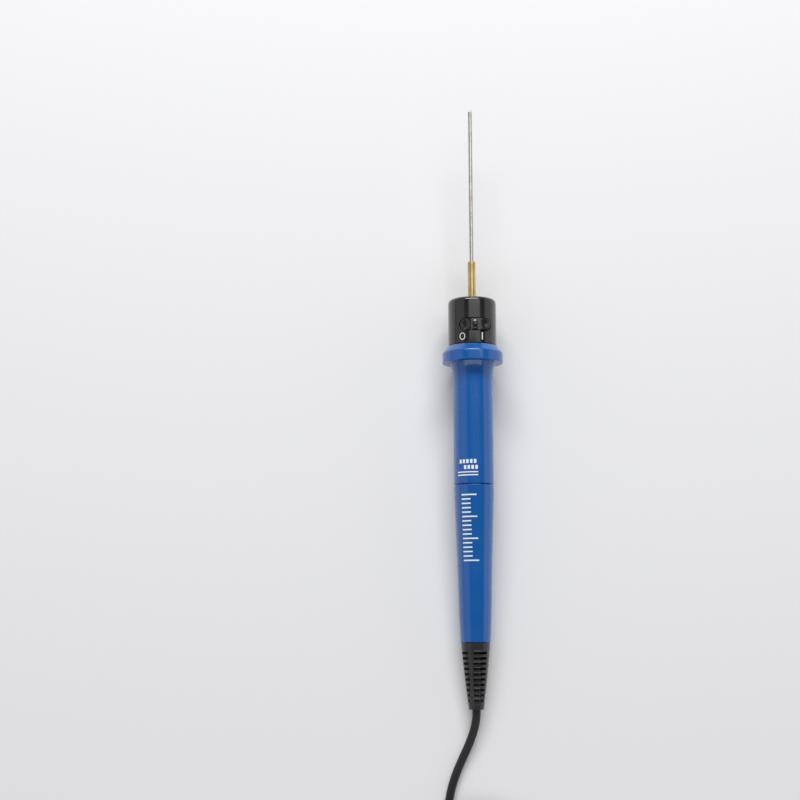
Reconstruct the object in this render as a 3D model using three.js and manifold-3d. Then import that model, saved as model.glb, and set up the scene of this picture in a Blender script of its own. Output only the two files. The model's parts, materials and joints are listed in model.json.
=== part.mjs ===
// Pen-type hot wire cutter for foam, with a rocker switch and a USB lead.
// Millimetres, +Z up. The pen lies on a flat surface (z = 0) with its tip towards +Y.
import * as THREE from 'three';
import { mergeVertices } from 'three/addons/utils/BufferGeometryUtils.js';
import Module from 'manifold-3d';

// ---- driving dimensions -------------------------------------------------------------

const GAP = 0.3; // between pieces that meet

// Stations along the pen's axis, from the tail end of the strain relief to the tip.
const RELIEF_FRONT = 28.6;
const SEAM = 97.3;
const FLANGE_BACK = 151.5;
const FLANGE_FRONT = 159;
const CHAMFER = 3.1; // on the flange's front edge, along the axis
const COLLAR_FRONT = 180.3;
const SLEEVE_FRONT = 197.9;
const TIP = 268.4;
const SWITCH_AT = 167.5;

// Radii.
const NEEDLE_R = 0.92;
const NEEDLE_BORE_R = 0.5;
const HEATING_WIRE_R = 0.2;
const SLEEVE_R = 1.75;
const SLEEVE_BORE_R = 1.25;
const COLLAR_R = 10.7;
const COLLAR_CAVITY_R = 9.0;
const SPIGOT_R = 8.2;
const SPIGOT_BORE_R = 7.2;
const FLANGE_R = 13.5;
const NECK_R = 8.75;
const SEAM_R = 8.85;
const BARREL_BORE_R = 7.0;
const THREAD_R = 6.7;
const THREAD_BORE_R = 5.5;
const LEAD_R = 0.6;
const CORD_R = 1.8;
const RELIEF_BORE_R = CORD_R + GAP;

// The rear barrel narrows towards the tail: [radius, station].
const REAR_TAPER = [
  [6.6, 28.9], [6.68, 31], [7.02, 38.5], [7.3, 47.2], [7.5, 55.8],
  [7.74, 64.5], [8.08, 73.3], [8.4, 82], [8.68, 90.8], [SEAM_R, SEAM - GAP / 2],
];
const REAR_REST = REAR_TAPER[2]; // the rear barrel touches the surface here

// Switch, in a frame on the pen's axis whose +Z is the rocker's outward direction.
const SWITCH_TURN = THREE.MathUtils.degToRad(6.5); // round the pen, from straight up towards +X
const ROCKER_TILT = THREE.MathUtils.degToRad(7); // each side of level
const ROCKER_HALF_LENGTH = 6.8;
const ROCKER_HALF_WIDTH = 2.6;
const ROCKER_TOP_R = COLLAR_R + 0.2;
const DIMPLE_AT = 3.95;
const DIMPLE_R = 2.3;
const DIMPLE_DEPTH = 0.5;
const RIB_HALF_LENGTH = 2; // the raised rib between the dimples
const RIB_HALF_WIDTH = 1.3;
const RIB_HEIGHT = 0.45;
const PIVOT_HEIGHT = 7.6;
const PIVOT_PIN_R = 0.5;
const PIVOT_BORE_R = 0.6;
const BLADE_TILT_RATIO = 0.6; // the blade tips the other way

// Strain relief ribs.
const SLOT_ROWS = 10;
const SLOT_PITCH = 2.25;
const SLOT_WIDTH = 1.05;
const FIRST_SLOT = 3.9;
const WINDOWS = 4; // round the relief, with a straight spine between each two
const TAIL_WINDOW = THREE.MathUtils.degToRad(74);
const FRONT_WINDOW = THREE.MathUtils.degToRad(64);
const WINDOW_TURN = THREE.MathUtils.degToRad(20);
const SLOT_FLOOR_R = 2.7;
const SLOT_REACH = 8; // beyond the relief's skin

// USB lead: a free stretch, a tied hank and a short tail to the plug.
const LANE = 3.7; // from one run of cord to the next
const FOLD_R = 10.8;
const RUN = 60;
const WAIST = 1.85; // from the hank's centre line to the innermost run, at the tie
const LAYERS = 3;
const HANK_AT = [0, -223];
const TIE_WIDTH = 5;
const TIE_THICKNESS = 0.9;
const LEAD_ROUTE = [
  [0, -134.4, 4.9], [-0.2, -138, 4.6], [-1.3, -143, 3.75], [-3.6, -149, 2.75], [-6.4, -155, 2.05],
  [-9, -161, 1.85], [-11, -167, 1.8], [-12.2, -173, 1.8], [-12.8, -178.2, 1.8],
];
const TAIL_ROUTE = [[-12.7, -267.2, 8.4], [-11.2, -272, 6.9], [-9.4, -277, 5.2], [-8.3, -282, 4.3], [-8, -287, 4]];
const PLUG_AT = [-8, -287, 4];

// USB-A plug.
const BOOT_LENGTH = 8;
const GRIP = [15.6, 22, 8];
const SHELL = [12, 16.5, 4.5];
const SHELL_WALL = 0.3;
const SHELL_INSERT = 4.5;
const TONGUE_THICKNESS = 1.8;
const CONTACTS = 4;

// ---- helpers ----------------------------------------------------------------------

const wasm = await Module();
wasm.setup();

// One shared point per corner, no collapsed triangles, and faces turned outwards.
function welded(source) {
  const bare = source.clone();
  bare.deleteAttribute('normal');
  bare.deleteAttribute('uv');
  const geometry = mergeVertices(bare, 1e-4);
  const position = geometry.attributes.position;
  const index = geometry.index.array;
  const kept = [];
  const corner = [0, 1, 2].map(() => new THREE.Vector3());
  let volume = 0;
  for (let i = 0; i < index.length; i += 3) {
    const [a, b, c] = index.slice(i, i + 3);
    if (a === b || b === c || c === a) continue;
    kept.push([a, b, c]);
    [a, b, c].forEach((vertex, k) => corner[k].fromBufferAttribute(position, vertex));
    volume += corner[0].dot(corner[1].clone().cross(corner[2]));
  }
  const facing = volume < 0 ? kept.map(([a, b, c]) => [a, c, b]) : kept;
  geometry.setIndex(facing.flat());
  return geometry;
}

function solid(geometry) {
  const { attributes, index } = welded(geometry);
  const vertProperties = new Float32Array(attributes.position.array);
  const triVerts = new Uint32Array(index.array);
  return new wasm.Manifold(new wasm.Mesh({ numProp: 3, vertProperties, triVerts }));
}

function fromSolid(body) {
  const mesh = body.getMesh();
  const geometry = new THREE.BufferGeometry();
  geometry.setAttribute('position', new THREE.BufferAttribute(mesh.vertProperties, 3));
  geometry.setIndex(new THREE.BufferAttribute(mesh.triVerts, 1));
  return geometry;
}

const join = (...geometries) => fromSolid(geometries.map(solid).reduce((a, b) => a.add(b)));
const cut = (geometry, ...tools) => fromSolid(
  tools.map(solid).reduce((body, tool) => body.subtract(tool), solid(geometry)));
const common = (a, b) => fromSolid(solid(a).intersect(solid(b)));

// A turned shape round the Y axis, from [radius, station] points.
function turned(points, segments = 32) {
  return new THREE.LatheGeometry(points.map(([r, y]) => new THREE.Vector2(r, y)), segments);
}

function tube(outer, inner, from, to, segments = 24) {
  return turned([[inner, from], [outer, from], [outer, to], [inner, to], [inner, from]], segments);
}

function rod(radius, from, to, segments = 16) {
  return turned([[0, from], [radius, from], [radius, to], [0, to]], segments);
}

// Points on an arc of a turned profile, about [r, y], from one angle to another.
function arc(r, y, radius, from, to, steps) {
  return Array.from({ length: steps + 1 }, (_, k) => {
    const angle = THREE.MathUtils.degToRad(from + ((to - from) * k) / steps);
    return [r + radius * Math.cos(angle), y + radius * Math.sin(angle)];
  });
}

function box(width, depth, height, x = 0, y = 0, z = 0) {
  return new THREE.BoxGeometry(width, depth, height).translate(x, y, z);
}

function roundSection(radius, sides) {
  const shape = new THREE.Shape();
  for (let k = 0; k < sides; k += 1) {
    const angle = (2 * Math.PI * k) / sides;
    shape[k ? 'lineTo' : 'moveTo'](radius * Math.cos(angle), radius * Math.sin(angle));
  }
  return shape;
}

function along(points, radius, steps, sides = 8) {
  const curve = new THREE.CatmullRomCurve3(points.map((p) => new THREE.Vector3(...p)));
  const options = { extrudePath: curve, steps, bevelEnabled: false };
  return new THREE.ExtrudeGeometry(roundSection(radius, sides), options);
}

// A stadium standing along Z: half length along X, half width along Y.
function stadium(halfLength, halfWidth, bottom, top) {
  const shape = new THREE.Shape();
  const straight = halfLength - halfWidth;
  shape.absarc(straight, 0, halfWidth, -Math.PI / 2, Math.PI / 2);
  shape.absarc(-straight, 0, halfWidth, Math.PI / 2, 1.5 * Math.PI);
  const options = { depth: top - bottom, bevelEnabled: false, curveSegments: 8 };
  return new THREE.ExtrudeGeometry(shape, options).translate(0, 0, bottom);
}

const FINISH = {
  steel: { color: 0xd9d4cb, roughness: 0.25, metalness: 1 },
  brass: { color: 0xb59a5c, roughness: 0.3, metalness: 1 },
  black_gloss: { color: 0x1a1a1c, roughness: 0.25, metalness: 0 },
  black_satin: { color: 0x222226, roughness: 0.55, metalness: 0 },
  blue: { color: 0x0b5499, roughness: 0.3, metalness: 0 },
  ceramic: { color: 0xe9e4d8, roughness: 0.6, metalness: 0 },
  nylon: { color: 0xd8d4c6, roughness: 0.6, metalness: 0 },
  red: { color: 0xb02020, roughness: 0.5, metalness: 0 },
  white: { color: 0xe8e8e4, roughness: 0.5, metalness: 0 },
};

function piece(name, finish, geometry) {
  const mesh = new THREE.Mesh(welded(geometry), new THREE.MeshStandardMaterial(FINISH[finish]));
  mesh.name = name;
  return mesh;
}

// ---- needle and its holder --------------------------------------------------------

const SLEEVE_BACK = SWITCH_AT + 4.1;
const BUSHING_BACK = SLEEVE_BACK + 1;
const CAVITY_FRONT = COLLAR_FRONT - 2.5;
const CRIMP_FRONT = SWITCH_AT - 6.5;
const CRIMP_BACK = CRIMP_FRONT - 6;

function needleTube() {
  return turned([
    [0, TIP - 2.2], [NEEDLE_BORE_R, TIP - 2.5], [NEEDLE_BORE_R, SLEEVE_BACK],
    [NEEDLE_R, SLEEVE_BACK], ...arc(0, TIP - NEEDLE_R, NEEDLE_R, 0, 90, 4),
  ], 16);
}

function brassSleeve() {
  const edge = 0.25;
  return turned([
    [SLEEVE_BORE_R, SLEEVE_BACK], [SLEEVE_R, SLEEVE_BACK], [SLEEVE_R, SLEEVE_FRONT - edge],
    [SLEEVE_R - edge, SLEEVE_FRONT], [SLEEVE_BORE_R, SLEEVE_FRONT], [SLEEVE_BORE_R, SLEEVE_BACK],
  ], 24);
}

function returnTab() {
  const ring = tube(3.2, SLEEVE_R + GAP, SLEEVE_BACK + 0.15, SLEEVE_BACK + 0.65);
  const tongue = box(1.6, 8, 0.5, 0, SLEEVE_BACK + 0.65 - 4, -2.8);
  return join(ring, tongue);
}

// ---- collar -------------------------------------------------------------------------

function collarShell() {
  const back = FLANGE_FRONT + GAP;
  const edge = 1.9;
  const shell = turned([
    [SPIGOT_BORE_R, FLANGE_BACK], [SPIGOT_R, FLANGE_BACK], [SPIGOT_R, back], [COLLAR_R, back],
    ...arc(COLLAR_R - edge, COLLAR_FRONT - edge, edge, 0, 90, 5),
    [4.2, COLLAR_FRONT], [3.8, COLLAR_FRONT + 0.7], [SLEEVE_R + GAP, COLLAR_FRONT + 0.7],
    [SLEEVE_R + GAP, CAVITY_FRONT], [COLLAR_CAVITY_R, CAVITY_FRONT],
    [COLLAR_CAVITY_R, back + 1.7], [SPIGOT_BORE_R, back + 1.7], [SPIGOT_BORE_R, FLANGE_BACK],
  ]);
  const opening = stadium(ROCKER_HALF_LENGTH + 0.35, ROCKER_HALF_WIDTH + GAP, 3, COLLAR_R + 1);
  return cut(shell, opening.translate(0, SWITCH_AT, 0).rotateY(SWITCH_TURN));
}

// ---- rocker switch, in the switch frame --------------------------------------------

const SOCKET_R = 0.95;
const SOCKET_TOP = PIVOT_HEIGHT - 0.85;
const WEB_BOTTOM = 4.6;
const CAP_COVER = 1.2; // from the web's top to the cap's face
const PLATE_TOP = 1.9;
const EAR_LENGTH = 1.2;
const EAR_AT = ROCKER_HALF_WIDTH + GAP + EAR_LENGTH / 2;

// The rocker is made level, with its pivot at the origin, and tilted where it is placed.
function rockerBody() {
  const face = rod(ROCKER_TOP_R, -5, 5, 64).translate(0, 0, -PIVOT_HEIGHT);
  const under = rod(COLLAR_CAVITY_R, -6, 6, 64).translate(0, 0, -PIVOT_HEIGHT);
  const plan = stadium(ROCKER_HALF_LENGTH, ROCKER_HALF_WIDTH, -2.5, 4);
  const cap = cut(common(plan, face), under);
  const height = ROCKER_TOP_R - CAP_COVER - WEB_BOTTOM;
  const web = box(3.6, 2 * ROCKER_HALF_WIDTH - 0.8, height, 0, 0, WEB_BOTTOM - PIVOT_HEIGHT + height / 2);
  const ball = (DIMPLE_R ** 2 + DIMPLE_DEPTH ** 2) / (2 * DIMPLE_DEPTH);
  const lean = Math.asin(DIMPLE_AT / ROCKER_TOP_R);
  const reach = ROCKER_TOP_R - DIMPLE_DEPTH + ball;
  const dimples = [-1, 1].map((side) => new THREE.SphereGeometry(ball, 32, 20)
    .translate(side * reach * Math.sin(lean), 0, reach * Math.cos(lean) - PIVOT_HEIGHT));
  const ribTop = ROCKER_TOP_R + RIB_HEIGHT - PIVOT_HEIGHT;
  const rib = stadium(RIB_HALF_LENGTH, RIB_HALF_WIDTH, ribTop - 1.5, ribTop).rotateZ(Math.PI / 2);
  const bore = rod(PIVOT_BORE_R, -4, 4);
  const socket = rod(SOCKET_R, 0, 4).rotateX(-Math.PI / 2).translate(0, 0, SOCKET_TOP - PIVOT_HEIGHT);
  return cut(join(cut(join(cap, web), ...dimples), rib), bore, socket);
}

// Upright turned shapes stand along the switch frame's Z.
const upright = (geometry) => geometry.rotateX(Math.PI / 2);

function plunger() {
  const head = PIVOT_HEIGHT - 3.45;
  return upright(turned([
    ...arc(0, head + 0.65, 0.65, -90, 0, 4), [0.65, head + 1.4], [0, head + 1.4],
  ], 12)).translate(0, 0, -PIVOT_HEIGHT);
}

function plungerSpring() {
  const coil = 0.5;
  const turns = 3;
  const bottom = PIVOT_HEIGHT - 1.85;
  const rise = 0.7;
  const points = Array.from({ length: turns * 8 + 1 }, (_, k) => {
    const angle = (2 * Math.PI * k) / 8;
    const height = bottom + (rise * k) / (turns * 8) - PIVOT_HEIGHT;
    return [coil * Math.cos(angle), coil * Math.sin(angle), height];
  });
  return along(points, 0.08, turns * 8, 5);
}

function switchHousing() {
  const half = EAR_AT + EAR_LENGTH / 2;
  const plate = box(17, 2 * half, 0.9, 0, 0, PLATE_TOP - 0.45);
  const ears = [-1, 1].map((side) => box(3.2, EAR_LENGTH, 7, 0, side * EAR_AT, PLATE_TOP + 3));
  const hole = rod(PIVOT_BORE_R, -6, 6).translate(0, 0, PIVOT_HEIGHT);
  const tabSlot = box(2, 3, 0.9, 0, -EAR_AT, PLATE_TOP + 0.45);
  return cut(join(plate, ...ears), hole, tabSlot);
}

const BLADE_PIVOT = 3.6;
const BLADE_HALF_LENGTH = 4.6;

// A shallow V of spring strip, with its fulcrum at the origin.
function bladeStrip() {
  const shape = new THREE.Shape();
  const thickness = 0.3;
  shape.moveTo(0, 0);
  shape.lineTo(BLADE_HALF_LENGTH, 0.25);
  shape.lineTo(BLADE_HALF_LENGTH, 0.25 + thickness);
  shape.lineTo(0, thickness);
  shape.lineTo(-BLADE_HALF_LENGTH, 0.25 + thickness);
  shape.lineTo(-BLADE_HALF_LENGTH, 0.25);
  const strip = new THREE.ExtrudeGeometry(shape, { depth: 2.2, bevelEnabled: false });
  return strip.rotateX(Math.PI / 2).translate(0, 1.1, 0);
}

// A contact post on the plate, with a tab that runs out towards the tail.
function terminal(x, top) {
  const bottom = PLATE_TOP + 0.1;
  const post = box(1.4, 2, top - bottom, x, 0, (top + bottom) / 2);
  const tab = box(1.4, 7.2, 0.4, x, -3.2, bottom + 0.2);
  return join(post, tab);
}

// ---- barrels --------------------------------------------------------------------------

function frontBarrel() {
  const flare = new THREE.CubicBezierCurve(
    new THREE.Vector2(NECK_R, 142.5), new THREE.Vector2(NECK_R + 0.1, 146.5),
    new THREE.Vector2(9.2, 148.5), new THREE.Vector2(10.3, FLANGE_BACK));
  const edge = 0.3;
  return turned([
    [BARREL_BORE_R, SEAM + GAP / 2], [SEAM_R, SEAM + GAP / 2], [NECK_R + 0.03, 118], [NECK_R, 138],
    ...flare.getPoints(6).map(({ x, y }) => [x, y]),
    [FLANGE_R - edge, FLANGE_BACK], [FLANGE_R, FLANGE_BACK + edge], [FLANGE_R, FLANGE_FRONT - CHAMFER],
    [COLLAR_R + 0.25, FLANGE_FRONT], [SPIGOT_R + GAP, FLANGE_FRONT],
    [SPIGOT_R + GAP, FLANGE_BACK - GAP], [BARREL_BORE_R, FLANGE_BACK - GAP],
    [BARREL_BORE_R, SEAM + GAP / 2],
  ]);
}

function rearBarrel() {
  const seam = SEAM - GAP / 2;
  return turned([
    [4.9, REAR_TAPER[0][1]], ...REAR_TAPER,
    [THREAD_R, seam], [THREAD_R, seam + 12], [THREAD_BORE_R, seam + 12],
    [THREAD_BORE_R, 80], [5.3, 31], [4.9, 31], [4.9, REAR_TAPER[0][1]],
  ]);
}

// ---- strain relief and the cord inside it ------------------------------------------------

const RELIEF_TAPER = [
  [2.9, 0], [3.3, 0.5], [3.76, 4.2], [4.32, 8.5], [4.8, 12.8], [5.26, 17], [5.7, 21.3], [6.15, 26],
  [6.3, 28.2], [6.1, RELIEF_FRONT],
];
const RELIEF_LOCK = 33.4;

function reliefSlots() {
  const slots = [];
  for (let row = 0; row < SLOT_ROWS; row += 1) {
    const window = THREE.MathUtils.lerp(TAIL_WINDOW, FRONT_WINDOW, row / (SLOT_ROWS - 1));
    for (let k = 0; k < WINDOWS; k += 1) {
      const shape = new THREE.Shape();
      const start = WINDOW_TURN - window / 2 + (k * 2 * Math.PI) / WINDOWS;
      shape.absarc(0, 0, SLOT_REACH, start, start + window);
      shape.absarc(0, 0, SLOT_FLOOR_R, start + window, start, true);
      const slot = new THREE.ExtrudeGeometry(shape, { depth: SLOT_WIDTH, curveSegments: 3, bevelEnabled: false });
      slots.push(slot.rotateX(-Math.PI / 2).rotateY(Math.PI / 2)
        .translate(0, FIRST_SLOT + row * SLOT_PITCH - SLOT_WIDTH / 2, 0));
    }
  }
  return slots;
}

function strainRelief() {
  const body = turned([
    [RELIEF_BORE_R, 0], ...RELIEF_TAPER, [4.6, RELIEF_FRONT], [4.6, 31 + GAP], [5, 31 + GAP],
    [5, RELIEF_LOCK], [RELIEF_BORE_R, RELIEF_LOCK], [RELIEF_BORE_R, 0],
  ], 24);
  return cut(body, ...reliefSlots());
}

const CORD_END = 44;

// ---- pen ----------------------------------------------------------------------------------

const pen = new THREE.Group();
pen.add(
  piece('needle', 'steel', needleTube()),
  piece('heating_wire', 'steel', rod(HEATING_WIRE_R, CRIMP_FRONT - 2, TIP - 2.9, 8)),
  piece('brass_sleeve', 'brass', brassSleeve()),
  piece('return_tab', 'brass', returnTab()),
  piece('ceramic_bushing', 'ceramic', tube(4.6, SLEEVE_R + GAP, BUSHING_BACK, CAVITY_FRONT - 0.2, 32)),
  piece('wire_crimp', 'brass', tube(0.9, 0.45, CRIMP_BACK, CRIMP_FRONT, 12)),
  piece('collar', 'black_gloss', collarShell()),
  piece('front_barrel', 'blue', frontBarrel()),
  piece('rear_barrel', 'blue', rearBarrel()),
  piece('strain_relief', 'black_satin', strainRelief()),
  piece('cord_core', 'black_satin', rod(CORD_R, 0, CORD_END, 12)),
  piece('cord_stop', 'nylon', tube(4.7, CORD_R + GAP, RELIEF_LOCK + GAP, RELIEF_LOCK + GAP + 5, 24)),
);

const switchFrame = new THREE.Group();
switchFrame.position.y = SWITCH_AT;
switchFrame.rotation.y = SWITCH_TURN;
pen.add(switchFrame);
const pin = rod(PIVOT_PIN_R, -EAR_AT - EAR_LENGTH / 2, EAR_AT + EAR_LENGTH / 2, 12);
switchFrame.add(
  piece('switch_housing', 'nylon', switchHousing()),
  piece('rocker_pin', 'steel', pin.translate(0, 0, PIVOT_HEIGHT)),
  piece('centre_terminal', 'brass', terminal(0, BLADE_PIVOT - 0.15)),
  piece('load_terminal', 'brass', terminal(-3.9, BLADE_PIVOT - 0.4)),
);

const rocker = new THREE.Group();
rocker.position.z = PIVOT_HEIGHT;
rocker.rotation.y = -ROCKER_TILT; // the -X end, marked O, is pressed in
rocker.add(
  piece('switch_rocker', 'black_gloss', rockerBody()),
  piece('rocker_plunger', 'steel', plunger()),
  piece('plunger_spring', 'steel', plungerSpring()),
);
const blade = piece('contact_blade', 'brass', bladeStrip());
blade.position.z = BLADE_PIVOT;
blade.rotation.y = ROCKER_TILT * BLADE_TILT_RATIO;
switchFrame.add(rocker, blade);

const TAB_END = SWITCH_AT - 6.9;
pen.add(
  piece('supply_lead', 'red', along([
    [1.6, CORD_END + 0.5, 0], [2.4, 60, 0], [2.6, 100, 0.5], [2.4, 140, 1.5], [1.2, 156, 2.4], [0.4, TAB_END, 2.4],
  ], LEAD_R, 24, 6)),
  piece('return_lead', 'black_satin', along([
    [-1.6, CORD_END + 0.5, 0], [-2.2, 60, -1.2], [-2, 100, -2.2], [-1, 140, -2.8], [0, 158, -2.8],
    [0, SLEEVE_BACK - 7.7, -2.8],
  ], LEAD_R, 24, 6)),
  piece('load_lead', 'white', along([
    [-3.5, TAB_END, 3.1], [-3.7, 155, 2.6], [-3.4, 150, 1.4], [-2.2, 147, 0.5], [-0.8, 147.4, 0.1],
    [0, 150, 0], [0, CRIMP_BACK - GAP, 0],
  ], LEAD_R, 24, 6)),
);

// The pen rests on the flange's rim and on the rear barrel, with its tip a little higher.
const tilt = Math.atan((FLANGE_R - REAR_REST[0]) / (FLANGE_BACK - REAR_REST[1]));
pen.rotation.x = tilt;
pen.updateMatrixWorld(true);
const reach = new THREE.Box3().setFromObject(pen, true);
pen.position.set(0, -(reach.min.y + reach.max.y) / 2, -reach.min.z);

// ---- hank, tie and tail ------------------------------------------------------------------------

const HANK_TOP = LAYERS * LANE + TIE_THICKNESS;

// The outline of the runs laid side by side, drawn in where the tie holds them.
function hankOutline() {
  const wide = FOLD_R + LANE + CORD_R;
  const narrow = WAIST + LANE + CORD_R;
  const half = RUN / 2;
  const side = Array.from({ length: 13 }, (_, k) => {
    const y = -half + (RUN * k) / 12;
    return [narrow + ((wide - narrow) * (1 - Math.cos((Math.PI * y) / half))) / 2, y];
  });
  const shape = new THREE.Shape();
  side.forEach(([x, y], k) => shape[k ? 'lineTo' : 'moveTo'](x, y));
  shape.absarc(0, half, wide, 0, Math.PI);
  side.slice().reverse().forEach(([x, y]) => shape.lineTo(-x, y));
  shape.absarc(0, -half, wide, Math.PI, 2 * Math.PI);
  return shape;
}

function hank() {
  const body = new THREE.ExtrudeGeometry(hankOutline(), { depth: HANK_TOP, bevelEnabled: false, curveSegments: 10 });
  const [width, depth] = [2 * (FOLD_R + LANE + CORD_R), TIE_WIDTH + 2 * GAP];
  const groove = box(width, depth, 4, 0, 0, TIE_THICKNESS + GAP - 2);
  const lid = box(width, depth, 4, 0, 0, HANK_TOP - GAP + 2);
  return cut(body, groove, lid).translate(...HANK_AT, 0);
}

function cordTie() {
  const width = 2 * (WAIST + LANE + CORD_R + GAP);
  const height = HANK_TOP + TIE_THICKNESS;
  const outer = box(width + 2 * TIE_THICKNESS, TIE_WIDTH, height, 0, 0, height / 2);
  const inner = box(width, TIE_WIDTH + 2, LAYERS * LANE + GAP, 0, 0, height / 2);
  return cut(outer, inner).translate(...HANK_AT, 0);
}

// ---- USB-A plug, pointing to -Y ------------------------------------------------------------------

function grip() {
  const [width, length, height] = GRIP;
  const shape = new THREE.Shape();
  const [x, z, r] = [width / 2, height / 2, 1.8];
  shape.absarc(x - r, z - r, r, 0, Math.PI / 2);
  shape.absarc(r - x, z - r, r, Math.PI / 2, Math.PI);
  shape.absarc(r - x, r - z, r, Math.PI, 1.5 * Math.PI);
  shape.absarc(x - r, r - z, r, 1.5 * Math.PI, 2 * Math.PI);
  const body = new THREE.ExtrudeGeometry(shape, { depth: length, bevelEnabled: false, curveSegments: 4 })
    .rotateX(Math.PI / 2).translate(0, -BOOT_LENGTH, 0);
  const boot = turned([[0, -BOOT_LENGTH - 1], [3.3, -BOOT_LENGTH - 1], [2.6, 0], [0, 0]], 16);
  const cordHole = rod(CORD_R + GAP, -3.3, 1, 12);
  const seat = box(SHELL[0] + 2 * GAP, SHELL_INSERT + GAP + 1, SHELL[2] + 2 * GAP,
    0, -BOOT_LENGTH - length + (SHELL_INSERT + GAP - 1) / 2, 0);
  return cut(join(body, boot), cordHole, seat);
}

const SHELL_BACK = -BOOT_LENGTH - GRIP[1] + SHELL_INSERT;
const SHELL_FRONT = SHELL_BACK - SHELL[1];

function shell() {
  const [width, length, height] = SHELL;
  const middle = (SHELL_BACK + SHELL_FRONT) / 2;
  const outer = box(width, length, height, 0, middle, 0);
  return cut(outer, box(width - 2 * SHELL_WALL, length + 2, height - 2 * SHELL_WALL, 0, middle, 0));
}

const TONGUE_TOP = SHELL[2] / 2 - SHELL_WALL - 0.2;

function tongue() {
  const width = SHELL[0] - 2 * SHELL_WALL - 0.4;
  const length = SHELL[1] - 1;
  const block = box(width, 4, 2 * TONGUE_TOP, 0, SHELL_BACK - 2.2, 0);
  const blade = box(width, length, TONGUE_THICKNESS, 0, SHELL_BACK - 0.2 - length / 2, TONGUE_TOP - TONGUE_THICKNESS / 2);
  return join(block, blade);
}

const plug = new THREE.Group();
plug.position.set(...PLUG_AT);
plug.add(
  piece('usb_grip', 'black_satin', grip()),
  piece('usb_shell', 'steel', shell()),
  piece('usb_tongue', 'white', tongue()),
);
for (let k = 0; k < CONTACTS; k += 1) {
  const x = (k - (CONTACTS - 1) / 2) * 2.25;
  const height = TONGUE_TOP - TONGUE_THICKNESS - 0.15;
  const strip = box(1, 7.5, 0.2, x, SHELL_FRONT + 6, height);
  plug.add(piece(`usb_contact_${k + 1}`, 'brass', strip));
}

const cutter = new THREE.Group();
cutter.add(
  pen,
  piece('cord_lead', 'black_satin', along(LEAD_ROUTE, CORD_R, 10)),
  piece('cord_hank', 'black_satin', hank()),
  piece('cord_tie', 'black_satin', cordTie()),
  piece('cord_tail', 'black_satin', along(TAIL_ROUTE, CORD_R, 5)),
  plug,
);

export default cutter;
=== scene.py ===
"""Looks of a pen-type hot wire cutter: steel needle, brass sleeve, black collar with a rocker switch,
blue two-part barrel, ribbed strain relief and a USB lead with its plug. Metres, +Z up, tip towards +Y."""

import json
import math

import bmesh
import bpy
from mathutils import Matrix, Vector


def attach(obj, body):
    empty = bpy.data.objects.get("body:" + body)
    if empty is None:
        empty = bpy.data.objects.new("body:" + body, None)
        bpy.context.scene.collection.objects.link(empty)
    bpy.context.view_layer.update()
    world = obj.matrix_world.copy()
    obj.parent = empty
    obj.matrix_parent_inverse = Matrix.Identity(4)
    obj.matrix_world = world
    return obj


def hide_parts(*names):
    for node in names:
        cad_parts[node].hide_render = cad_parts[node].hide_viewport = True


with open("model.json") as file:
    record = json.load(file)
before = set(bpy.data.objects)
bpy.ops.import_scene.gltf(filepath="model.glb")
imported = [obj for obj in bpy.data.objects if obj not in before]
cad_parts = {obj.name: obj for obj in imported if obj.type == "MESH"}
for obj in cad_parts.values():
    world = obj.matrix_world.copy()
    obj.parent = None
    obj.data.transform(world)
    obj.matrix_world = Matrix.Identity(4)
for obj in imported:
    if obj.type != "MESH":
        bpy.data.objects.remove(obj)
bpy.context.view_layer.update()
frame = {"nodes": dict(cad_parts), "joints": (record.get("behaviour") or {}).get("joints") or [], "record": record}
joints = {joint["name"]: joint for joint in frame["joints"]}

MM = 0.001
X_AXIS = Vector((1, 0, 0))

# ---- driving dimensions, in millimetres, stations measured along the pen from its tail ------

RELIEF_FRONT = 28.6
SEAM = 97.3
FLANGE_BACK = 151.5
FLANGE_FRONT = 159
COLLAR_FRONT = 180.3
CHAMFER = 3.1
SLEEVE_FRONT = 197.9
TIP = 268.4
SWITCH_AT = 167.5
MARKS_AT = 162.2

NEEDLE_R = 0.92
SLEEVE_R = 1.75
COLLAR_R = 10.7
FLANGE_R = 13.5
NECK_R = 8.75
SEAM_R = 8.85
CORD_R = 1.8
GAP = 0.3

PIVOT_HEIGHT = 7.6
SWITCH_TURN = 6.5
ROCKER_TILT = 7

PLUG_AT = (-8, -287, 4)
HANK_AT = (0, -223)


# ---- where the pen lies --------------------------------------------------------------------


def pen_matrix():
    """From millimetres along the pen's own axes to metres where the pen lies."""
    hinge = joints["rocker_tilt"]
    along = Vector(hinge["axis"]).normalized()
    up = X_AXIS.cross(along)
    turn = math.radians(SWITCH_TURN)
    pivot = X_AXIS * math.sin(turn) + up * math.cos(turn)
    origin = Vector(hinge["pos_m"]) - MM * (PIVOT_HEIGHT * pivot + SWITCH_AT * along)
    axes = Matrix((X_AXIS, along, up)).transposed().to_4x4()
    return Matrix.Translation(origin) @ axes @ Matrix.Scale(MM, 4)


PEN = pen_matrix()
PEN_TURN = PEN.to_3x3().normalized()
SWITCH = PEN @ Matrix.Translation((0, SWITCH_AT, 0)) @ Matrix.Rotation(math.radians(SWITCH_TURN), 4, "Y")
TIPPED = Matrix.Rotation(math.radians(-ROCKER_TILT), 4, "Y")
ROCKER = SWITCH @ Matrix.Translation((0, 0, PIVOT_HEIGHT)) @ TIPPED
LYING = Matrix.Scale(MM, 4)
PLUG = LYING @ Matrix.Translation(PLUG_AT)
HANK = LYING @ Matrix.Translation((*HANK_AT, 0))

# ---- camera -----------------------------------------------------------------------------------

CAMERA_DISTANCE = 720
CAMERA_PITCH = 8.43
CAMERA_LENS = 73.8
CAMERA_LEFT = 32.4
CAMERA_ROLL = -0.26


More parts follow.
